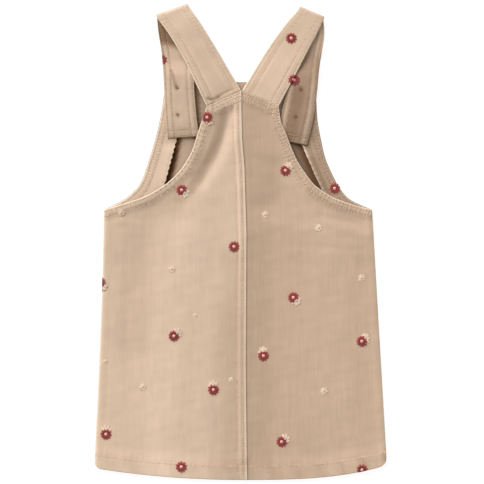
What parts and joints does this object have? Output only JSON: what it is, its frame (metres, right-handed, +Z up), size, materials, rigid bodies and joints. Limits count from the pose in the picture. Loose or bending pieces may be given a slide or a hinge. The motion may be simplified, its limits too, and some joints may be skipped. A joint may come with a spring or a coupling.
{
  "type": "child's pinafore dress",
  "caption": "Child's needlecord pinafore dress laid flat with its back up, its straps folded over and buttoned inside the bib.",
  "frame": {"origin": "on the surface the dress lies on, under the middle of its outline", "axes": "+X across the dress to the right seen from above, +Y from the hem to the shoulders, +Z up from the surface, out of the dress's back"},
  "size_m": [0.3355, 0.5474, 0.0102],
  "materials": {
    "needlecord": "fine needlecord, soft brushed ribs along the garment, with small embroidered daisies",
    "needlecord_inside": "fine needlecord with an overlocked edge",
    "button": "horn-coloured, satin"
  },
  "bodies": {
    "root": {"front": "needlecord", "front_facing_left": "needlecord_inside", "front_facing_right": "needlecord_inside", "back_left": "needlecord", "back_right": "needlecord", "strap_left": "needlecord", "strap_right": "needlecord", "button_left_upper": "button", "button_left_lower": "button", "button_right_upper": "button", "button_right_lower": "button"}
  },
  "joints": []
}
